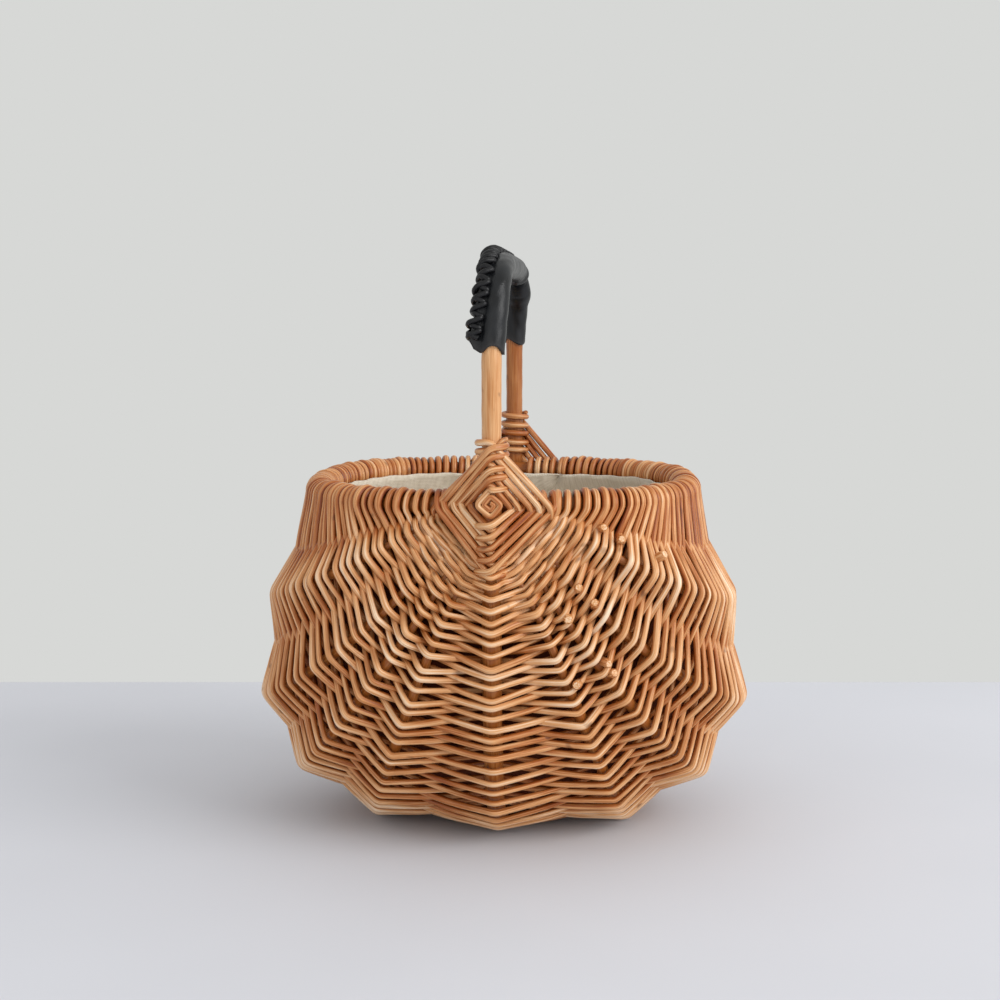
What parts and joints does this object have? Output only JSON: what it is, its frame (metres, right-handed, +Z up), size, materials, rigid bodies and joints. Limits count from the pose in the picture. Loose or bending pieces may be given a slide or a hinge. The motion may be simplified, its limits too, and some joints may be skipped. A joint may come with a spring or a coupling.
{
  "type": "wicker basket bag",
  "caption": "Woven frame basket with ribs, a fixed hoop handle with a laced leather grip, diamond lashings and a cloth lining, for carrying small goods by hand.",
  "frame": {"origin": "on the table plane, under the middle of the basket", "axes": "+Z up, Y along the plane of the handle hoop with the front lashing at -Y, X across the basket"},
  "size_m": [0.2996, 0.2534, 0.3464],
  "materials": {
    "willow_weave": "peeled and stained round willow, satin, honey brown",
    "frame_rod": "smooth peeled rod, satin, honey brown with a darker grain",
    "lashing_rod": "thin peeled willow, satin, brown",
    "linen": "plain woven linen, matt, greige",
    "black_leather": "smooth leather, satin, black",
    "black_lace": "round leather lace, satin, black"
  },
  "bodies": {
    "root": {"weaver_01": "willow_weave", "weaver_02": "willow_weave", "weaver_03": "willow_weave", "weaver_04": "willow_weave", "weaver_05": "willow_weave", "weaver_06": "willow_weave", "weaver_07": "willow_weave", "weaver_08": "willow_weave", "weaver_09": "willow_weave", "weaver_10": "willow_weave", "weaver_11": "willow_weave", "weaver_12": "willow_weave", "weaver_13": "willow_weave", "weaver_14": "willow_weave", "weaver_15": "willow_weave", "weaver_16": "willow_weave", "weaver_17": "willow_weave", "weaver_18": "willow_weave", "weaver_19": "willow_weave", "weaver_20": "willow_weave", "weaver_21": "willow_weave", "weaver_22": "willow_weave", "weaver_23": "willow_weave", "weaver_24": "willow_weave", "weaver_25": "willow_weave", "weaver_26": "willow_weave", "weaver_27": "willow_weave", "weaver_28": "willow_weave", "weaver_29": "willow_weave", "weaver_30": "willow_weave", "weaver_31": "willow_weave", "weaver_32": "willow_weave", "weaver_33": "willow_weave", "weaver_34": "willow_weave", "weaver_35": "willow_weave", "weaver_36": "willow_weave", "weaver_37": "willow_weave", "handle_hoop": "frame_rod", "rim_hoop": "frame_rod", "rib_left_1": "frame_rod", "rib_left_2": "frame_rod", "rib_left_3": "frame_rod", "rib_left_4": "frame_rod", "rib_right_1": "frame_rod", "rib_right_2": "frame_rod", "rib_right_3": "frame_rod", "rib_right_4": "frame_rod", "lashing_front": "lashing_rod", "lashing_rear": "lashing_rod", "lining": "linen", "grip_sleeve": "black_leather", "grip_lace": "black_lace"}
  },
  "joints": []
}
